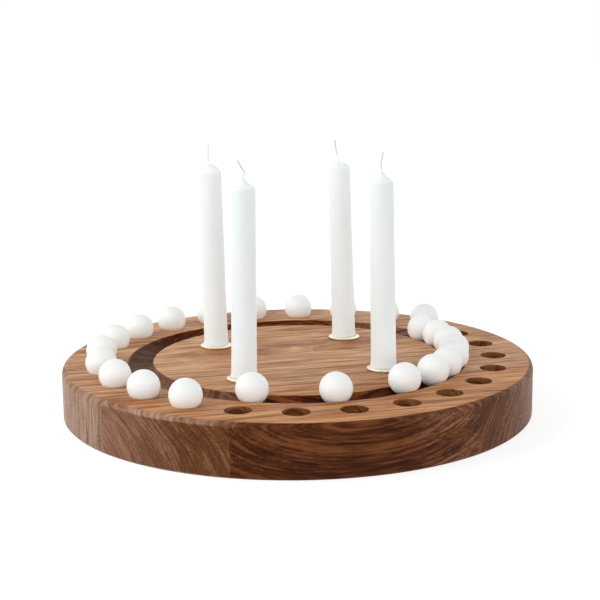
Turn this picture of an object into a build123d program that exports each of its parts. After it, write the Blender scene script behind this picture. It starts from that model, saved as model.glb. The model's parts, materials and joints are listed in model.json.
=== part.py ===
from build123d import *
from math import asin, cos, degrees, radians, sin, sqrt, tan
import os

# Advent candle holder: a turned walnut disc with four candles in brass cups, a ring of sockets for
# white balls, and a round track in which the balls wait for their day.
# Millimetres, +Z up, X to the right and Y away from the viewer, origin at the centre of the underside.

# Candles: dipped household candles with a braided wick, numbered by their angle
candle_circle_radius = 80.0
candle_angles = (59.85, 149.6, 239.25, 328.9)
candle_leans = (-1.35, -0.7, 0.75, -0.65)  # degrees off upright, positive towards +X
candle_foot_radius = 10.1
candle_shoulder_radius = 9.2
candle_body_length = 163.8
candle_shoulder_round = 0.8
candle_seat_gap = 0.1
tip_heights = (4.1, 6.4, 7.2, 8.3)
tip_hollows = (-0.5, -1.0, 0.9, 0.7)  # of each tip's side, negative where it bulges
tip_wax = 0.5  # wax left around the wick at the tip
wick_radius = 0.75
wick_lengths = (18.1, 16.2, 13.0, 14.5)
# Corners of each bare wick, aside and up, as shares of its length
wick_corner_shares = (
    ((0.0, 0.12), (-0.10, 0.45), (-0.15, 0.75), (-0.155, 1.0)),
    ((0.0, 0.12), (-0.11, 0.28), (-0.03, 1.0)),
    ((0.0, 0.12), (0.12, 0.32), (-0.12, 0.62), (-0.30, 1.0)),
    ((0.0, 0.12), (-0.05, 0.40), (0.09, 1.0)),
)
wick_tangent_share = 0.45  # of the shorter run beside a bend

# Candle cups: turned brass, pushed into bores until the seat under the sloped flange meets the wood
cup_depth = 15.5
cup_clearance = 0.5
cup_wall = 0.6
cup_fit = 0.1
cup_seat_width = 1.2
cup_flange_overhang = 2.45
cup_flange_lift = 0.4  # of the flange's edge above the wood
cup_flange_edge = 0.6
cup_flange_rise = 2.6  # of the flange's inner edge above the wood
cup_flange_round = 0.25
cup_bottom_gap = 0.3

# Balls: turned and lacquered white, wider than the cutter that made sockets and track
cutter_diameter = 20.0
ball_overhang = 5.0
ball_seat_gap = 0.1
ball_neighbour_gap = 0.2
socket_count = 24
socket_depth = 12.0
first_socket_angle = -90.0
empty_before_count = 9  # sockets from the front one to the first full one, anticlockwise
full_socket_count = 14
track_depth = 12.0
loose_ball_angles = (-104.8, -76.9, -50.7)
row_start_angle = -35.1
row_ball_count = 7

# Disc: boards glued edge to edge, then turned
disc_thickness = 41.0
track_margin = 21.85  # wood between a cup's flange and a ball in the track
ball_lane_gap = 7.5  # room between a socket ball and a ball that rolls past
rim_margin = 18.0  # wood between a socket ball and the rim
rim_round = 4.5
foot_bevel = 1.5
cut_edge_bevel = 0.5
board_turn = 15.0  # degrees from +X to the boards' grain
board_joint_shares = (-1.0396, -0.53, 0.0935, 0.6044)  # of the socket ring's radius

# Sizes that follow
cup_inner_radius = candle_foot_radius + cup_clearance
cup_outer_radius = cup_inner_radius + cup_wall
cup_bore_radius = cup_outer_radius + cup_fit
cup_seat_radius = cup_outer_radius + cup_seat_width
flange_radius = cup_outer_radius + cup_flange_overhang
cutter_radius = cutter_diameter / 2
ball_radius = (cutter_diameter + ball_overhang) / 2
track_radius = candle_circle_radius + flange_radius + track_margin + ball_radius
socket_ring_radius = track_radius + 2 * ball_radius + ball_lane_gap
disc_radius = socket_ring_radius + ball_radius + rim_margin
socket_pitch = 360 / socket_count

# A ball rests on the bevelled edge of its socket, or on both edges of the track
seat_rise = sqrt((ball_radius + ball_seat_gap) ** 2 - cutter_radius**2)
ball_height = disc_thickness - cut_edge_bevel + seat_rise

os.makedirs("parts", exist_ok=True)


def polar(radius, angle, height):
    return (radius * cos(radians(angle)), radius * sin(radians(angle)), height)


def save(piece, name):
    piece.part.label = name
    export_step(piece.part, f"parts/{name}.step")


# The glued blank, turned to a disc, then cut for the track, the sockets and the candle cups
with BuildPart() as disc:
    Cylinder(disc_radius, disc_thickness, align=(Align.CENTER, Align.CENTER, Align.MIN))
    with BuildSketch(Plane.XZ) as track_section:
        with Locations((track_radius, disc_thickness - track_depth + cutter_radius)):
            Circle(cutter_radius)
            Rectangle(cutter_diameter, track_depth, align=(Align.CENTER, Align.MIN))
    revolve(axis=Axis.Z, mode=Mode.SUBTRACT)
    with BuildSketch(Plane.XY.offset(disc_thickness)) as socket_mouths:
        with PolarLocations(socket_ring_radius, socket_count, start_angle=first_socket_angle):
            Circle(cutter_radius)
    extrude(amount=-socket_depth, mode=Mode.SUBTRACT)
    with BuildSketch(Plane.XY.offset(disc_thickness)) as cup_mouths:
        for angle in candle_angles:
            with Locations(polar(candle_circle_radius, angle, 0)):
                Circle(cup_bore_radius)
    extrude(amount=-(cup_depth + cup_wall + cup_bottom_gap), mode=Mode.SUBTRACT)
    top_edges = disc.edges().filter_by(GeomType.CIRCLE).group_by(Axis.Z)[-1].sort_by(SortBy.RADIUS)
    fillet(top_edges[-1], radius=rim_round)
    chamfer(disc.edges().filter_by(GeomType.CIRCLE).group_by(Axis.Z)[0], length=foot_bevel)
    cut_edges = disc.edges().filter_by(GeomType.CIRCLE).group_by(Axis.Z)[-1].sort_by(SortBy.RADIUS)
    chamfer(cut_edges[:-1], length=cut_edge_bevel)

# The boards, numbered from the front, with their glue joints across the grain's direction
across = Vector(-sin(radians(board_turn)), cos(radians(board_turn)), 0)
joint_planes = [
    Plane(origin=across * (share * socket_ring_radius), z_dir=across) for share in board_joint_shares
]
for number in range(1, len(joint_planes) + 2):
    with BuildPart() as board:
        add(disc.part)
        if number > 1:
            split(bisect_by=joint_planes[number - 2], keep=Keep.TOP)
        if number <= len(joint_planes):
            split(bisect_by=joint_planes[number - 1], keep=Keep.BOTTOM)
    save(board, f"walnut_board_{number}")


def bend_radii(points):
    """The radius at each inner corner, as large as the two runs beside it allow."""
    radii = []
    for before, corner, after in zip(points, points[1:], points[2:]):
        first = Vector(*corner) - Vector(*before)
        second = Vector(*after) - Vector(*corner)
        half_turn = radians(first.get_angle(second)) / 2
        radii.append(wick_tangent_share * min(first.length, second.length) / tan(half_turn))
    return radii


# Each candle stands in its cup, a little off upright about the middle of the cup's depth
for index, angle in enumerate(candle_angles):
    lean = radians(candle_leans[index])
    up = Vector(sin(lean), 0, cos(lean))
    side = Vector(cos(lean), 0, -sin(lean))
    mouth = Vector(*polar(candle_circle_radius, angle, disc_thickness))
    upright = Plane(origin=mouth, x_dir=(1, 0, 0), z_dir=(0, -1, 0))
    sink = cup_depth / 2
    lift = candle_foot_radius * abs(sin(lean)) + candle_seat_gap
    foot = mouth - Vector(0, 0, sink) - up * (sink / cos(lean) - lift)
    leaning = Plane(origin=foot, x_dir=side, z_dir=(0, -1, 0))
    tip = candle_body_length + tip_heights[index]

    with BuildPart() as cup:
        with BuildSketch(upright) as cup_section:
            with BuildLine() as cup_outline:
                Polyline(
                    (0, -cup_depth),
                    (cup_inner_radius, -cup_depth),
                    (cup_inner_radius, cup_flange_rise),
                    (flange_radius, cup_flange_lift + cup_flange_edge),
                    (flange_radius, cup_flange_lift),
                    (cup_seat_radius, 0),
                    (cup_outer_radius, 0),
                    (cup_outer_radius, -cup_depth - cup_wall),
                    (0, -cup_depth - cup_wall),
                    close=True,
                )
            make_face()
            flange_corners = cup_section.vertices().sort_by(Axis.Y)[-2:]
            fillet(flange_corners, radius=cup_flange_round)
        revolve(axis=Axis(mouth, (0, 0, 1)))
    save(cup, f"candle_cup_{index + 1}")

    with BuildPart() as candle:
        with BuildSketch(leaning) as candle_section:
            with BuildLine() as candle_outline:
                shoulder = (candle_shoulder_radius, candle_body_length)
                tip_edge = (wick_radius + tip_wax, tip)
                Polyline((wick_radius, tip), (wick_radius, 0), (candle_foot_radius, 0), shoulder)
                SagittaArc(shoulder, tip_edge, tip_hollows[index])
                Line(tip_edge, (wick_radius, tip))
            make_face()
            outer = candle_section.vertices().sort_by_distance(shoulder)[0]
            fillet(outer, radius=candle_shoulder_round)
        revolve(axis=Axis(foot, up))
    save(candle, f"candle_{index + 1}")

    bare = wick_lengths[index]
    corners = [(aside * bare, tip + rise * bare) for aside, rise in wick_corner_shares[index]]
    route_points = [(0, 0)] + corners
    with BuildPart() as wick:
        with BuildLine(leaning) as wick_route:
            FilletPolyline(*route_points, radius=bend_radii(route_points))
        with BuildSketch(Plane(origin=foot, x_dir=side, z_dir=up)) as wick_section:
            Circle(wick_radius)
        sweep(path=wick_route.wires()[0])
    save(wick, f"wick_{index + 1}")


# White balls: one in each full socket, three loose in the track, and a row of them that touch
def make_ball(radius, angle, name):
    with BuildPart() as ball:
        with Locations(polar(radius, angle, ball_height)):
            Sphere(ball_radius)
    save(ball, name)


first_full_angle = first_socket_angle + empty_before_count * socket_pitch
for place in range(full_socket_count):
    make_ball(socket_ring_radius, first_full_angle + place * socket_pitch, f"socket_ball_{place + 1:02d}")

row_pitch = 2 * degrees(asin((ball_radius + ball_neighbour_gap / 2) / track_radius))
row_angles = [row_start_angle + place * row_pitch for place in range(row_ball_count)]
for number, angle in enumerate(list(loose_ball_angles) + row_angles, 1):
    make_ball(track_radius, angle, f"track_ball_{number:02d}")
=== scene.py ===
import json
from math import cos, exp, pi, radians, sin, tan
from random import Random

import bmesh
import bpy
from mathutils import Matrix, Vector, noise


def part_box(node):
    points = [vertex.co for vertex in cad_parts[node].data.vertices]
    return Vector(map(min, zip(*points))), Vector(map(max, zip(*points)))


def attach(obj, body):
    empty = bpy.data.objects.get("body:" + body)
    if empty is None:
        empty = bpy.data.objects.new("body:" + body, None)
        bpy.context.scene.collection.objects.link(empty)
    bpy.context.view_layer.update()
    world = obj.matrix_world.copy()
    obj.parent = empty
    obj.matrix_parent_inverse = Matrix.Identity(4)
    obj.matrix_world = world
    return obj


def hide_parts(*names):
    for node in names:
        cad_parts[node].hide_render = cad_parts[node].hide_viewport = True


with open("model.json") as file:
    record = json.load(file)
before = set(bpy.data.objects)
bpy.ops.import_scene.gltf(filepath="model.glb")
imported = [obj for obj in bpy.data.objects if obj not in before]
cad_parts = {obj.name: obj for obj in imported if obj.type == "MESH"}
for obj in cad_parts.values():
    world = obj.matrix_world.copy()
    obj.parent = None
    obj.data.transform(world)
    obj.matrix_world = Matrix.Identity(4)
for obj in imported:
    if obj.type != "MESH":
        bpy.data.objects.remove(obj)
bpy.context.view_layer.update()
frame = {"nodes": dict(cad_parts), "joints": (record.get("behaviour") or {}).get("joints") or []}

# The disc is five walnut boards glued edge to edge, turned on a lathe and cut for the ball track, the
# sockets and the candle cups. It is sanded and oiled. The rim and the walls of the cuts are darker than
# the flat faces, a little from the oil and mostly as painted shade for the light that falls on them less;
# the ends of the boards are greyer, partly as end grain and partly as painted sheen.
board_turn = radians(15)
grain_way = (cos(board_turn), sin(board_turn), 0)
wood_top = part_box("walnut_board_3")[1].z
weld_distance = 1e-6
crease_angle = radians(30)
# Distances from the disc's axis at which sockets follow on the track, and the rim on the sockets
socket_start = 0.142
rim_start = 0.182
zone_blend = 0.003
# Flat wood reaches this far below the top and above the underside, at most and in full
flat_depth = 0.0012
flat_full_depth = 0.0002

# Light, middle and dark wood on the flat faces and on the walls along the grain, the walls' darker with
# painted shade
face_shades = ((0.69, 0.404, 0.214), (0.508, 0.243, 0.102), (0.272, 0.104, 0.035))
side_shades = ((0.229, 0.073, 0.020), (0.101, 0.023, 0.003), (0.035, 0.005, 0.001))
pore_tint = (0.50, 0.42, 0.36, 1)
pore_strength = 0.7
# The figure's value in the middle shade, and how far from it the light and the dark shade lie
middle_place = 0.66
light_reach = 0.095
dark_reach = 0.105
# Tones of walls that differ, each with the calmness of its figure: the track's walls along the grain,
# those that face right with painted shade, its end grain with painted shade, what faces left with painted
# light, the sockets with painted shade, and the rim's rounded edge with a painted highlight at the left
# and painted shade at the right
track_side = ((1.33, 1.30, 1.19), 1)
track_right_shade = ((0.95, 0.94, 0.90), 1.6)
track_end_shade = ((0.39, 0.41, 0.58), 2)
track_left_light = ((0.50, 0.47, 0.64), 1)
socket_wall_shade = ((0.37, 0.26, 0.19), 0.9)
left_edge_highlight = ((0.69, 0.77, 1.12), 1.2)
right_edge_shade = ((0.40, 0.36, 0.52), 1)
# The rim along the grain turns paler and greyer before the boards' right ends, a painted sheen
right_side_sheen = (1.28, 1.80, 3.9)
# Where these tones begin and end, by how far a wall faces along the grain to the right
end_range = (0.6, 1.02)
track_shade_range = (0, 0.3)
track_light_range = (-0.66, -0.42)
right_sheen_range = (0.12, 0.36)
left_highlight_range = (-0.72, -0.38)
right_shade_range = (0.5, 0.8)
# Where the rounded edge and the flat faces begin and are full, by how far a surface faces up
edge_range = (0.1, 0.4)
flat_range = (0.93, 0.995)

# Noise along the grain: its stretch, scale and detail
sway_noise = (0.25, 16, 2)
fibre_noise = (0.045, 650, 4)
pore_noise = (0.06, 1500, 2)
pore_range = (0.58, 0.72)
pore_sink = 0.8
sway_size = 0.007
# Years differ in width, and each darkens towards its late wood
year_scale = 0.33
year_drift = 2.5
late_wood_power = 3
# Streaks on the faces and on the walls: their stretch, and the scale and share of the coarse ones
face_streaks = (0.058, 220, 0.90)
wall_streaks = (0.05, 260, 0.70)
streak_total_share = 1.65  # of coarse and fine ones
fine_streak_scale = 700
streak_detail = 4
streak_round = 0.08  # their stretch round the heart
# What the figure is made up of
year_share = 0.25
late_wood_share = 0.07
streak_share = 0.48
fibre_share = 0.25
# Most values of a noise lie between these, and become the lowest and highest roughness
noise_middle = (0.3, 0.7)
wood_roughness = (0.40, 0.56)

# Each board's place from its heart (along and across the grain and up), the tilt of its grain, its ring
# width and the contrast of its walls, then its tones on the faces, on the rim along the grain and on the
# rim across it, the last partly end grain and partly painted sheen
board_cuts = {
    "walnut_board_1": (
        (0, 0.214, -0.058), radians(0.6), 0.0042, 0.9,
        (0.97, 0.82, 0.61), (0.80, 0.80, 0.78), (0.67, 0.65, 0.65),
    ),
    "walnut_board_2": (
        (0, 0.062, 0.020), radians(-0.8), 0.0050, 0.5,
        (0.91, 0.77, 0.58), (1.38, 2.05, 4.4), (0.56, 0.58, 0.83),
    ),
    "walnut_board_3": (
        (0, 0.250, -0.015), radians(0.5), 0.0036, 0.65,
        (1, 1, 1), (0.95, 0.95, 0.95), (0.73, 0.90, 1.42),
    ),
    "walnut_board_4": (
        (0, -0.020, 0.070), radians(1.2), 0.0048, 1,
        (1.02, 1, 0.97), (0.95, 0.95, 0.95), (0.68, 0.82, 1.17),
    ),
    "walnut_board_5": (
        (0, -0.170, 0.045), radians(-1.0), 0.0055, 1,
        (0.98, 0.95, 0.93), (1.05, 1.05, 1.05), (0.67, 0.78, 1.10),
    ),
}


def fill(tree, made, sockets):
    """Links a shader node's sockets to other nodes, or sets them."""
    for name, value in dict(sockets).items():
        if isinstance(value, bpy.types.NodeSocket):
            tree.links.new(value, made.inputs[name])
        else:
            made.inputs[name].default_value = value


def node(tree, kind, sockets=(), **settings):
    """A new shader node with its settings made and its sockets filled."""
    made = tree.nodes.new(kind)
    for name, value in settings.items():
        setattr(made, name, value)
    fill(tree, made, sockets)
    return made


def maths(tree, operation, *values):
    return node(tree, "ShaderNodeMath", enumerate(values), operation=operation).outputs[0]


def vectors(tree, operation, *values):
    made = node(tree, "ShaderNodeVectorMath", enumerate(values), operation=operation)
    return made.outputs["Value" if operation in ("LENGTH", "DOT_PRODUCT") else "Vector"]


def weighed(tree, *parts):
    """The sum of (value, share) parts."""
    (value, share), *others = parts
    total = maths(tree, "MULTIPLY", value, share)
    for value, share in others:
        total = maths(tree, "MULTIPLY_ADD", value, share, total)
    return total


def stretched(tree, place, scale):
    return node(tree, "ShaderNodeMapping", {"Vector": place, "Scale": scale}).outputs[0]


def cloud(tree, place, scale, detail, output=0):
    """Noise in space: its value, or with output 1 its colour."""
    sockets = {"Vector": place, "Scale": scale, "Detail": detail}
    return node(tree, "ShaderNodeTexNoise", sockets).outputs[output]


def line_noise(tree, place, scale, detail):
    """Noise along a line."""
    sockets = {"W": place, "Scale": scale, "Detail": detail}
    return node(tree, "ShaderNodeTexNoise", sockets, noise_dimensions="1D").outputs[0]


def remap(tree, value, low, high, to_low, to_high):
    ends = {"Value": value, "From Min": low, "From Max": high, "To Min": to_low, "To Max": to_high}
    return node(tree, "ShaderNodeMapRange", ends, interpolation_type="SMOOTHSTEP").outputs[0]


def mixed(tree, factor, under, over, blend="MIX"):
    """Two colours mixed; a Mix node keeps its colours in sockets 6 and 7."""
    sockets = {0: factor, 6: under, 7: over}
    return node(tree, "ShaderNodeMix", sockets, data_type="RGBA", blend_type=blend).outputs[2]


def ramp(tree, value, *stops):
    """A colour ramp of (place, colour) stops."""
    made = node(tree, "ShaderNodeValToRGB", {"Fac": value})
    elements = made.color_ramp.elements
    while len(elements) < len(stops):
        elements.new(1)
    for element, (place, colour) in zip(elements, stops):
        element.position = place
        element.color = (*colour, 1)
    return made.outputs[0]


def bumped(tree, height, strength, distance):
    sockets = {"Height": height, "Strength": strength, "Distance": distance}
    return node(tree, "ShaderNodeBump", sockets).outputs[0]


def object_place(tree):
    return node(tree, "ShaderNodeTexCoord").outputs["Object"]


def new_material(name):
    material = bpy.data.materials.new(name)
    material.use_nodes = True
    tree = material.node_tree
    return material, tree, tree.nodes["Principled BSDF"]


def toned(shade, tone):
    return tuple(part * share for part, share in zip(shade, tone))


def oiled_walnut(name, heart, tilt, ring_width, contrast, face_tone, side_tone, end_tone_and_sheen):
    material, tree, shader = new_material(name)
    spot = node(tree, "ShaderNodeTexCoord")
    place = spot.outputs["Object"]
    turn = {"Vector": place, "Rotation": (0, tilt, -board_turn), "Location": heart}
    grain = node(tree, "ShaderNodeMapping", turn).outputs[0]

    def along_grain(stretch, scale, detail, output=0):
        return cloud(tree, stretched(tree, grain, (stretch, 1, 1)), scale, detail, output)

    # Rings stand round the heart, and wander along the board
    sway = along_grain(*sway_noise, output=1)
    sway = vectors(tree, "MULTIPLY_ADD", sway, (sway_size,) * 3, (-sway_size / 2,) * 3)
    swayed = vectors(tree, "ADD", grain, sway)
    from_heart = vectors(tree, "LENGTH", vectors(tree, "MULTIPLY", swayed, (0, 1, 1)))
    rings = maths(tree, "DIVIDE", from_heart, ring_width)
    years = line_noise(tree, rings, year_scale, detail=3)
    season = maths(tree, "FRACT", maths(tree, "MULTIPLY_ADD", years, year_drift, rings))
    late_wood = maths(tree, "POWER", season, late_wood_power)

    # Fibres and open pores run along the grain, and streaks follow the rings
    fibres = along_grain(*fibre_noise)
    pores = remap(tree, along_grain(*pore_noise), *pore_range, 0, 1)
    around = vectors(tree, "DOT_PRODUCT", swayed, (0, streak_round, streak_round))

    def figured(stretch, coarse_scale, coarse_share):
        """The figure of the wood, from light to dark, with streaks of that stretch and coarseness."""
        along = vectors(tree, "DOT_PRODUCT", swayed, (stretch, 0, 0))
        on_ring = node(tree, "ShaderNodeCombineXYZ", {0: along, 1: from_heart, 2: around}).outputs[0]
        coarse = cloud(tree, on_ring, coarse_scale, streak_detail)
        fine = cloud(tree, on_ring, fine_streak_scale, streak_detail)
        streaks = weighed(tree, (coarse, coarse_share), (fine, streak_total_share - coarse_share))
        return weighed(
            tree, (years, year_share), (late_wood, late_wood_share), (streaks, streak_share),
            (fibres, fibre_share),
        )

    face_figure = figured(*face_streaks)
    wall_figure = figured(*wall_streaks)

    def shaded(shades, tone, calmness, figure=wall_figure):
        """Toned shades laid over the figure, further apart on it where the wood is calmer."""
        places = (middle_place - light_reach * calmness, middle_place, middle_place + dark_reach * calmness)
        return ramp(tree, figure, *zip(places, [toned(shade, tone) for shade in shades]))

    # How far each surface faces up, and along the grain to the right
    facing = spot.outputs["Normal"]
    upward = maths(tree, "ABSOLUTE", vectors(tree, "DOT_PRODUCT", facing, (0, 0, 1)))
    aside = vectors(tree, "NORMALIZE", vectors(tree, "MULTIPLY", facing, (1, 1, 0)))
    rightward = vectors(tree, "DOT_PRODUCT", aside, grain_way)
    end_share = remap(tree, maths(tree, "ABSOLUTE", rightward), *end_range, 0, 1)

    # The rim is dark along the grain, with painted shade, and greyer on the end grain, partly with painted
    # sheen, which also greys it before the right ends; its rounded edge gets a painted highlight at the
    # left ends and painted shade at the right ones
    calmness = 1 / contrast
    sheen_to_right = remap(tree, rightward, *right_sheen_range, 0, 1)
    on_edge = remap(tree, upward, *edge_range, 0, 1)
    highlight_at_left = maths(tree, "MULTIPLY", on_edge, remap(tree, rightward, *left_highlight_range, 1, 0))
    shade_at_right = maths(tree, "MULTIPLY", on_edge, remap(tree, rightward, *right_shade_range, 0, 1))
    rim = shaded(side_shades, side_tone, calmness)
    rim = mixed(tree, sheen_to_right, rim, shaded(side_shades, right_side_sheen, calmness))
    rim = mixed(tree, end_share, rim, shaded(face_shades, end_tone_and_sheen, calmness))
    rim = mixed(tree, highlight_at_left, rim, shaded(face_shades, *left_edge_highlight))
    rim = mixed(tree, shade_at_right, rim, shaded(face_shades, *right_edge_shade))

    # The track's walls get painted shade where they face right, away from the lamp, and on their end grain,
    # and painted light where they face left, towards it
    shaded_facing_right = remap(tree, rightward, *track_shade_range, 0, 1)
    lit_facing_left = remap(tree, rightward, *track_light_range, 1, 0)
    track = shaded(side_shades, *track_side)
    track = mixed(tree, shaded_facing_right, track, shaded(side_shades, *track_right_shade))
    track = mixed(tree, end_share, track, shaded(face_shades, *track_end_shade))
    track = mixed(tree, lit_facing_left, track, shaded(face_shades, *track_left_light))

    # Walls by their distance from the axis, the sockets' with painted shade, then the flat faces above and
    # below them
    from_axis = vectors(tree, "LENGTH", vectors(tree, "MULTIPLY", place, (1, 1, 0)))
    at_sockets = remap(tree, from_axis, socket_start, socket_start + zone_blend, 0, 1)
    on_rim = remap(tree, from_axis, rim_start, rim_start + zone_blend, 0, 1)
    walls = mixed(tree, at_sockets, track, shaded(face_shades, *socket_wall_shade))
    walls = mixed(tree, on_rim, walls, rim)
    height = vectors(tree, "DOT_PRODUCT", place, (0, 0, 1))
    at_top = remap(tree, height, wood_top - flat_depth, wood_top - flat_full_depth, 0, 1)
    at_foot = remap(tree, height, flat_full_depth, flat_depth, 1, 0)
    level = remap(tree, upward, *flat_range, 0, 1)
    flat = maths(tree, "MULTIPLY", level, maths(tree, "MAXIMUM", at_top, at_foot))
    wood = mixed(tree, flat, walls, shaded(face_shades, face_tone, 1, face_figure))
    wood = mixed(tree, maths(tree, "MULTIPLY", pores, pore_strength), wood, pore_tint, "MULTIPLY")

    relief = maths(tree, "MULTIPLY_ADD", pores, -pore_sink, fibres)
    fill(tree, shader, {
        "Base Color": wood,
        "Roughness": remap(tree, fibres, *noise_middle, *wood_roughness),
        "Specular IOR Level": 0.12,
        "Normal": bumped(tree, relief, strength=0.25, distance=0.0003),
    })
    return material


def add_piece(shape, name, material, body, slot, *nodes):
    """Makes a bmesh a piece that moves with a body and stands for its nodes."""
    for face in shape.faces:
        face.smooth = True
    for edge in shape.edges:
        edge.smooth = edge.calc_face_angle(0) < crease_angle
    mesh = bpy.data.meshes.new(name)
    shape.to_mesh(mesh)
    shape.free()
    mesh.materials.append(material)
    piece = bpy.data.objects.new(name, mesh)
    bpy.context.scene.collection.objects.link(piece)
    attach(piece, body)
    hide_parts(*nodes)
    return piece


for board, cut in board_cuts.items():
    shape = bmesh.new()
    shape.from_mesh(frame["nodes"][board].data)
    bmesh.ops.remove_doubles(shape, verts=shape.verts, dist=weld_distance)
    wood = oiled_walnut(f"{board}_oiled", *cut)
    piece = add_piece(shape, f"{board}_turned", wood, "holder", "walnut", board)
    even = piece.modifiers.new("even_faces", "WEIGHTED_NORMAL")
    even.keep_sharp = True

# Each candle cup is turned from brass, with a flange that slopes down to a thin edge just off the wood,
# and is pushed into its bore as far as the seat below. The flange keeps the fine rings of the turning, and
# its edge is a darker gold, a painted reflection of the wood below.
cup_count = 4
cup_depth = 0.0155
cup_inner_radius = 0.0106
cup_wall = 0.0006
cup_corner = 0.0004
seat_radius = 0.0124
flange_radius = 0.01365
flange_lift = 0.0004
flange_edge = 0.0006
flange_rise = 0.0026
flange_round = 0.00025
cup_steps = 96
arc_steps = 6
brass_bright = (0.97, 0.92, 0.84)
brass_warm = (0.91, 0.80, 0.62)
wood_reflection_gold = (0.66, 0.46, 0.25, 1)
brass_roughness = (0.22, 0.38)


def rounded(before, at, after, radius):
    """Points of the arc that rounds an outline's corner."""
    at = Vector(at)
    back, on = (Vector(before) - at).normalized(), (Vector(after) - at).normalized()
    half = back.angle(on) / 2
    centre = at + (back + on).normalized() * (radius / sin(half))
    first, last = (at + way * (radius / tan(half)) - centre for way in (back, on))
    return [tuple(centre + first.slerp(last, step / arc_steps) * radius) for step in range(arc_steps + 1)]


def softened(corners):
    """An outline of (radius, height) points from corners of (radius, height, rounding)."""
    outline = []
    for place, (radius, height, rounding) in enumerate(corners):
        if rounding:
            before, after = corners[place - 1][:2], corners[place + 1][:2]
            outline += rounded(before, (radius, height), after, rounding)
        else:
            outline.append((radius, height))
    return outline


def turned(outline, steps, closed):
    """A bmesh spun about Z from an outline of (radius, height) points."""
    shape = bmesh.new()
    corners = [shape.verts.new((radius, 0, height)) for radius, height in outline]
    sides = [shape.edges.new(pair) for pair in zip(corners, corners[1:])]
    if closed:
        sides.append(shape.edges.new((corners[-1], corners[0])))
    bmesh.ops.spin(
        shape, geom=corners + sides, axis=(0, 0, 1), angle=2 * pi, steps=steps, use_merge=True
    )
    bmesh.ops.remove_doubles(shape, verts=shape.verts, dist=weld_distance)
    bmesh.ops.recalc_face_normals(shape, faces=shape.faces)
    return shape


brass, tree, shader = new_material("turned_brass")
spun = node(tree, "ShaderNodeAttribute", attribute_name="from_axis").outputs["Fac"]
rings = line_noise(tree, spun, scale=5000, detail=3)
tarnish = cloud(tree, object_place(tree), scale=160, detail=4)
gold = ramp(tree, tarnish, (0.35, brass_bright), (0.70, brass_warm))
# The flange's edge gets a painted reflection of the wood below
reflecting_edge = remap(tree, spun, flange_radius - flange_edge, flange_radius - flange_round / 2, 0, 1)
fill(tree, shader, {
    "Base Color": mixed(tree, reflecting_edge, gold, wood_reflection_gold),
    "Roughness": remap(tree, tarnish, *noise_middle, *brass_roughness),
    "Metallic": 1,
    "Normal": bumped(tree, rings, strength=0.3, distance=0.00005),
})

cup_outer_radius = cup_inner_radius + cup_wall
cup_outline = softened((
    (0, -cup_depth, 0),
    (cup_inner_radius, -cup_depth, cup_corner),
    (cup_inner_radius, flange_rise, flange_round),
    (flange_radius, flange_lift + flange_edge, flange_round),
    (flange_radius, flange_lift, 0),
    (seat_radius, 0, 0),
    (cup_outer_radius, 0, 0),
    (cup_outer_radius, -cup_depth - cup_wall, cup_corner),
    (0, -cup_depth - cup_wall, 0),
))
mouths = {}
for number in range(1, cup_count + 1):
    cup = f"candle_cup_{number}"
    low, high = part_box(cup)
    mouths[number] = Vector(((low.x + high.x) / 2, (low.y + high.y) / 2, wood_top))
    shape = turned(cup_outline, cup_steps, closed=False)
    from_axis = [vert.co.xy.length for vert in shape.verts]
    bmesh.ops.translate(shape, verts=shape.verts, vec=mouths[number])
    piece = add_piece(shape, f"{cup}_turned", brass, "holder", "brass", cup)
    piece.data.attributes.new("from_axis", "FLOAT", "POINT").data.foreach_set("value", from_axis)

# The candles are white household candles with a slight taper, dipped in layers, so their sides are a
# little uneven. Two end in a domed tip round the wick and two in a hollow one, and each stands a little
# aslant in its cup.
candle_foot_radius = 0.0101
candle_shoulder_radius = 0.0092
candle_body_length = 0.1638
candle_foot_round = 0.0005
candle_shoulder_rounds = {1: 0.0016, 2: 0.0022, 3: 0.0008, 4: 0.0010}
candle_seat_gap = 0.0001
# Wax drawn out where the candle leaves its cup
flare_width = 0.0009
flare_length = 0.0016
flare_rises = (-0.0002, 0, 0.0003, 0.0007, 0.0012, 0.0020, 0.0032)
tip_heights = {1: 0.0041, 2: 0.0064, 3: 0.0072, 4: 0.0083}
tip_hollows = {1: -0.0005, 2: -0.0010, 3: 0.0009, 4: 0.0007}
tip_radius = 0.00125
wick_radius = 0.00075
candle_steps = 96
body_steps = 60
tip_steps = 12
# Unevenness of the dipped sides, and of the shoulder's rim
dip_unevenness = 0.00012
dip_length = 0.018
dip_stretch = 0.4
rim_unevenness = 0.00035
rim_reach = 0.006
rim_length = 0.009
candle_seed_step = 7.3
wax_white = (0.885, 0.935, 0.94)
wax_shade = (0.865, 0.915, 0.925)
wax_roughness = (0.38, 0.55)

wax, tree, shader = new_material("dipped_wax")
place = object_place(tree)
bloom = cloud(tree, stretched(tree, place, (1, 1, 0.3)), scale=130, detail=5)
pits = cloud(tree, place, scale=900, detail=3)
fill(tree, shader, {
    "Base Color": ramp(tree, bloom, (0.35, wax_white), (0.68, wax_shade)),
    "Roughness": remap(tree, bloom, *noise_middle, *wax_roughness),
    "Subsurface Weight": 0.35,
    "Subsurface Radius": (1, 0.9, 0.8),
    "Subsurface Scale": 0.004,
    "Specular IOR Level": 0.4,
    "Normal": bumped(tree, pits, strength=0.12, distance=0.0002),
})


def tip_side(start, end, hollow):
    """Points from the shoulder to the wick, sunk below the straight line or raised above it."""
    run = Vector(end) - Vector(start)
    sink = Vector((-run.y, run.x)).normalized() * hollow
    shares = [step / tip_steps for step in range(1, tip_steps + 1)]
    return [tuple(Vector(start) + run * share + sink * 4 * share * (1 - share)) for share in shares]


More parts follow.
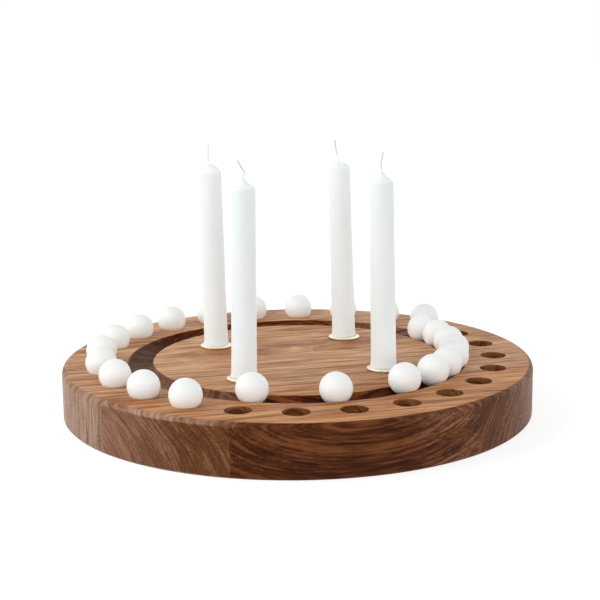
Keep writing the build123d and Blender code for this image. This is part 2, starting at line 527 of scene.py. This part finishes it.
joint_axes = {joint["name"]: Vector(joint["axis"]) for joint in frame["joints"]}
stances = {}
for number, tip_height in tip_heights.items():
    up = joint_axes[f"candle_{number}_lift"].normalized()
    side = Vector((up.z, 0, -up.x))
    pivot = mouths[number] - Vector((0, 0, cup_depth / 2))
    lift = candle_foot_radius * abs(up.x) + candle_seat_gap
    foot = pivot - up * (cup_depth / 2 / up.z - lift)
    stance = Matrix.Translation(foot) @ Matrix((side, up.cross(side), up)).transposed().to_4x4()
    stances[number] = stance

    # The outline runs down the wick's bore, up the side and over the tip
    tip = candle_body_length + tip_height
    mouth_height = cup_depth + flange_rise - lift
    shoulder = (candle_shoulder_radius, candle_body_length)
    tip_edge = (tip_radius, tip)
    foot_edge = (candle_foot_radius, 0)
    outline = [(wick_radius, tip), (wick_radius, 0)]
    outline += rounded((wick_radius, 0), foot_edge, shoulder, candle_foot_round)
    heights = [candle_body_length * step / body_steps for step in range(1, body_steps)]
    heights += [mouth_height + rise for rise in flare_rises]
    taper = candle_shoulder_radius - candle_foot_radius
    for height in sorted(heights):
        radius = candle_foot_radius + taper * height / candle_body_length
        if height >= mouth_height:
            radius += flare_width * exp((mouth_height - height) / flare_length)
        outline.append((radius, height))
    outline += rounded(foot_edge, shoulder, tip_edge, candle_shoulder_rounds[number])
    outline += tip_side(outline[-1], tip_edge, tip_hollows[number])
    shape = turned(outline, candle_steps, closed=True)

    # The dipped layers are uneven, and the bore stays round
    seed = Vector((candle_seed_step * number, 0, 0))
    for vert in shape.verts:
        out = Vector((vert.co.x, vert.co.y, 0))
        if out.length < (wick_radius + tip_radius) / 2:
            continue
        layers = noise.noise(Vector((vert.co.x, vert.co.y, vert.co.z * dip_stretch)) / dip_length + seed)
        vert.co += out.normalized() * layers * dip_unevenness
        near_rim = max(0, 1 - abs(vert.co.z - candle_body_length) / rim_reach)
        vert.co.z += near_rim * noise.noise(out / rim_length + seed) * rim_unevenness
    bmesh.ops.transform(shape, matrix=stance, verts=shape.verts)
    candle = f"candle_{number}"
    add_piece(shape, f"{candle}_dipped", wax, candle, "wax", candle)

# The wicks are plaited from three cotton strands. They run down the whole candle, and the bare ends stand
# up crooked, as they were cut, with a few frayed fibres and a little soot.
wick_lengths = {1: 0.0181, 2: 0.0162, 3: 0.0130, 4: 0.0145}
# Corners of each bare wick, aside and up, as shares of its length
wick_corners = {
    1: ((0, 0.12), (-0.10, 0.45), (-0.15, 0.75), (-0.155, 1)),
    2: ((0, 0.12), (-0.11, 0.28), (-0.03, 1)),
    3: ((0, 0.12), (0.12, 0.32), (-0.12, 0.62), (-0.30, 1)),
    4: ((0, 0.12), (-0.05, 0.40), (0.09, 1)),
}
strand_count = 3
strand_radius = 0.0003
plait_width = 0.0004
plait_depth = 0.0002
plait_pitch = 0.005
plait_samples = 12
# Frayed fibres start below the end, and bend aside on a course in shares of their reach, along and aside
fray_count = 9
fray_length = 0.0022
fray_radius = 0.00006
fray_root = 0.0006
fray_lift = 0.3
fray_width_share = 0.6
fray_least_share = 0.4
fray_course = ((0, 0), (0.5, 0.15), (0.8, 0.55))
fray_tapers = (1, 0.9, 0.5)
end_samples = 4  # of the plait, which give the way that the cut end points
# Soot starts at a share of the bare length, past 1 on a clean wick, and thickens over a further share
soot_starts = {1: 0.2, 2: 1.6, 3: 0.1, 4: 0.1}
soot_reach = 0.5
soot_strength = 0.35
soot_grey = (0.42, 0.41, 0.40, 1)
cotton_pale = (0.94, 0.935, 0.90)
cotton_warm = (0.89, 0.88, 0.83)
cotton_roughness = (0.75, 0.95)

cotton, tree, shader = new_material("plaited_cotton")
lint = cloud(tree, object_place(tree), scale=2500, detail=3)
soot = node(tree, "ShaderNodeAttribute", attribute_name="soot").outputs["Fac"]
thread = ramp(tree, lint, (0.35, cotton_pale), (0.65, cotton_warm))
fill(tree, shader, {
    "Base Color": mixed(tree, maths(tree, "MULTIPLY", soot, soot_strength), thread, soot_grey),
    "Roughness": remap(tree, lint, *noise_middle, *cotton_roughness),
    "Specular IOR Level": 0.2,
    "Normal": bumped(tree, lint, strength=0.5, distance=0.0001),
})


def line_mesh(points, kind, depth=0.0, tapers=None):
    """The mesh of a curve: its bare line, or a closed tube where it has a depth."""
    curve = bpy.data.curves.new("wick_line", "CURVE")
    curve.dimensions = "3D"
    curve.bevel_depth = depth
    curve.bevel_resolution = 1
    curve.use_fill_caps = True
    spline = curve.splines.new(kind)
    spline.points.add(len(points) - 1)
    for place, point in enumerate(points):
        spline.points[place].co = (*point, 1)
        spline.points[place].radius = tapers[place] if tapers else 1
    if kind == "NURBS":
        spline.use_endpoint_u = True
        spline.order_u = 3
        spline.resolution_u = 24
    holder = bpy.data.objects.new("wick_line", curve)
    bpy.context.scene.collection.objects.link(holder)
    evaluated = holder.evaluated_get(bpy.context.evaluated_depsgraph_get())
    mesh = bpy.data.meshes.new_from_object(evaluated)
    bpy.data.objects.remove(holder)
    bpy.data.curves.remove(curve)
    return mesh


def evenly(points, step):
    """Points a step apart along a line of points, with their distances from its start."""
    spaced = []
    walked = 0.0
    wanted = 0.0
    for start, end in zip(points, points[1:]):
        run = (end - start).length
        while wanted <= walked + run:
            spaced.append((wanted, start.lerp(end, (wanted - walked) / run)))
            wanted += step
        walked += run
    return spaced


def add_line(shape, points, kind, depth, tapers=None):
    """Adds the tube of a curve to a bmesh."""
    mesh = line_mesh(points, kind, depth, tapers)
    shape.from_mesh(mesh)
    bpy.data.meshes.remove(mesh)


for number, bare in wick_lengths.items():
    tip = candle_body_length + tip_heights[number]
    corners = [Vector((aside * bare, 0, tip + rise * bare)) for aside, rise in wick_corners[number]]
    route = line_mesh([Vector((0, 0, 0)), Vector((0, 0, tip))] + corners, "NURBS")
    samples = evenly([vert.co.copy() for vert in route.vertices], plait_pitch / plait_samples)
    bpy.data.meshes.remove(route)
    shape = bmesh.new()

    # Three strands cross from side to side along the wick
    across = Vector((0, 1, 0))
    for strand in range(strand_count):
        points = []
        for place, (walked, point) in enumerate(samples):
            near = samples[max(place - 1, 0)][1]
            along = (samples[min(place + 1, len(samples) - 1)][1] - near).normalized()
            phase = 2 * pi * (walked / plait_pitch + strand / strand_count)
            aside = along.cross(across) * sin(phase) * plait_width
            points.append(point + aside + across * sin(2 * phase) * plait_depth)
        add_line(shape, points, "POLY", strand_radius)

    # Loose fibres at the cut end
    end, before = samples[-1][1], samples[-end_samples][1]
    way = (end - before).normalized()
    dice = Random(number)
    for _ in range(fray_count):
        stray = Vector((dice.uniform(-1, 1), dice.uniform(-1, 1), dice.uniform(-fray_lift, fray_lift)))
        root = end - way * fray_root + stray * plait_width * fray_width_share
        reach = fray_length * dice.uniform(fray_least_share, 1)
        course = [root + way * reach * on + stray * reach * aside for on, aside in fray_course]
        add_line(shape, course, "NURBS", fray_radius, fray_tapers)

    shares = [(vert.co.z - tip) / bare for vert in shape.verts]
    soot_values = [min(1, max(0, (share - soot_starts[number]) / soot_reach)) for share in shares]
    bmesh.ops.transform(shape, matrix=stances[number], verts=shape.verts)
    wick = f"wick_{number}"
    piece = add_piece(shape, f"{wick}_plaited", cotton, f"candle_{number}", "wick", wick)
    piece.data.attributes.new("soot", "FLOAT", "POINT").data.foreach_set("value", soot_values)

# The 24 balls are turned from a pale wood and lacquered white, a satin finish in which the grain still
# shows a little. They sit loose: fourteen on sockets and ten in the track.
socket_ball_count = 14
track_ball_count = 10
ball_radius = 0.0125
ball_divisions = 5
ball_unevenness = 0.00004
ball_lump_scale = 1.5
ball_seed_step = 3.1
lacquer_white = (0.925, 0.945, 0.93)
lacquer_cream = (0.90, 0.92, 0.90)
lacquer_roughness = (0.34, 0.48)

lacquer, tree, shader = new_material("white_lacquer")
place = object_place(tree)
mottle = cloud(tree, place, scale=220, detail=4)
grain = cloud(tree, stretched(tree, place, (1, 1, 0.08)), scale=1100, detail=3)
fill(tree, shader, {
    "Base Color": ramp(tree, mottle, (0.35, lacquer_white), (0.70, lacquer_cream)),
    "Roughness": remap(tree, mottle, *noise_middle, *lacquer_roughness),
    "Specular IOR Level": 0.45,
    "Normal": bumped(tree, grain, strength=0.10, distance=0.0002),
})

balls = [f"socket_ball_{number:02d}" for number in range(1, socket_ball_count + 1)]
balls += [f"track_ball_{number:02d}" for number in range(1, track_ball_count + 1)]
for number, ball in enumerate(balls):
    low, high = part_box(ball)
    seed = Vector((ball_seed_step * number, 0, 0))
    shape = bmesh.new()
    bmesh.ops.create_icosphere(shape, subdivisions=ball_divisions, radius=ball_radius)
    for vert in shape.verts:
        lump = noise.noise(vert.co / ball_radius * ball_lump_scale + seed)
        vert.co *= 1 + lump * ball_unevenness / ball_radius
    bmesh.ops.translate(shape, verts=shape.verts, vec=(low + high) / 2)
    add_piece(shape, f"{ball}_lacquered", lacquer, ball, "white_ball", ball)

# The holder stands on a plain white floor that keeps a soft shadow. One soft lamp stands at the upper
# left, and white light comes from all round, mostly from low down.
floor_size = 12
floor_drop = 0.0002
floor_white = (0.45, 0.45, 0.45, 1)
floor_shade = (0.40, 0.40, 0.40, 1)
floor_glow = 0.75
sky_level = 2.30
# Light by height, from the horizon to overhead, as shares of the level
sky_shares = ((0, 0.4), (0.2, 1), (0.9, 0))
lamp_place = Vector((-1.5, -0.5, 1.4))
lamp_size = 0.8
lamp_power = 10.5

shape = bmesh.new()
bmesh.ops.create_grid(shape, x_segments=1, y_segments=1, size=floor_size / 2)
bmesh.ops.translate(shape, verts=shape.verts, vec=(0, 0, -floor_drop))
floor_mesh = bpy.data.meshes.new("floor")
shape.to_mesh(floor_mesh)
shape.free()
floor = bpy.data.objects.new("floor", floor_mesh)
bpy.context.scene.collection.objects.link(floor)


def seen_directly(tree):
    """One for light that the camera, a gloss or a clear surface sees, else zero."""
    path = node(tree, "ShaderNodeLightPath")
    rays = [path.outputs[f"Is {kind} Ray"] for kind in ("Camera", "Glossy", "Transmission")]
    return maths(tree, "MAXIMUM", maths(tree, "MAXIMUM", rays[0], rays[1]), rays[2])


white, tree, shader = new_material("white_floor")
fill(tree, shader, {"Base Color": floor_white, "Roughness": 0.9, "Specular IOR Level": 0})
shade = node(tree, "ShaderNodeBsdfDiffuse", {"Color": floor_shade}).outputs[0]
glow = node(tree, "ShaderNodeEmission", {"Strength": floor_glow}).outputs[0]
seen = node(tree, "ShaderNodeAddShader", {0: shade, 1: glow}).outputs[0]
ways = {0: seen_directly(tree), 1: shader.outputs[0], 2: seen}
either = node(tree, "ShaderNodeMixShader", ways).outputs[0]
fill(tree, tree.nodes["Material Output"], {"Surface": either})
floor_mesh.materials.append(white)

world = bpy.data.worlds.new("studio")
bpy.context.scene.world = world
world.use_nodes = True
tree = world.node_tree
way = node(tree, "ShaderNodeTexCoord").outputs["Generated"]
height = vectors(tree, "DOT_PRODUCT", way, (0, 0, 1))
around = ramp(tree, height, *[(place, (share,) * 3) for place, share in sky_shares])
ambient = maths(tree, "MULTIPLY", around, sky_level)
# A Mix node keeps its plain numbers in sockets 2 and 3
level = node(tree, "ShaderNodeMix", {0: seen_directly(tree), 2: ambient, 3: 1}).outputs[0]
fill(tree, tree.nodes["Background"], {"Color": (1, 1, 1, 1), "Strength": level})

lamp = bpy.data.lights.new("soft_lamp", "AREA")
lamp.size = lamp_size
lamp.energy = lamp_power
lamp_object = bpy.data.objects.new("soft_lamp", lamp)
lamp_object.location = lamp_place
lamp_object.rotation_euler = (-lamp_place).to_track_quat("-Z", "Y").to_euler()
bpy.context.scene.collection.objects.link(lamp_object)

# The camera stands over a metre away and a little above the table. It looks slightly down, and is rolled
# by about half a degree.
camera_place = (0.008226, -1.12203, 0.32168)
camera_down = radians(11.7296)
camera_aside = radians(-0.28737)
camera_roll = radians(-0.59935)
sensor_width = 36
focal_pixels = 1407.7
picture_pixels = 600

camera = bpy.data.cameras.new("camera")
camera.sensor_width = sensor_width
camera.lens = focal_pixels * sensor_width / picture_pixels
camera_object = bpy.data.objects.new("camera", camera)
camera_object.matrix_world = (
    Matrix.Translation(camera_place)
    @ Matrix.Rotation(-camera_aside, 4, "Z")
    @ Matrix.Rotation(pi / 2 - camera_down, 4, "X")
    @ Matrix.Rotation(camera_roll, 4, "Z")
)
bpy.context.scene.collection.objects.link(camera_object)
bpy.context.scene.camera = camera_object
bpy.context.scene.view_settings.view_transform = "Standard"
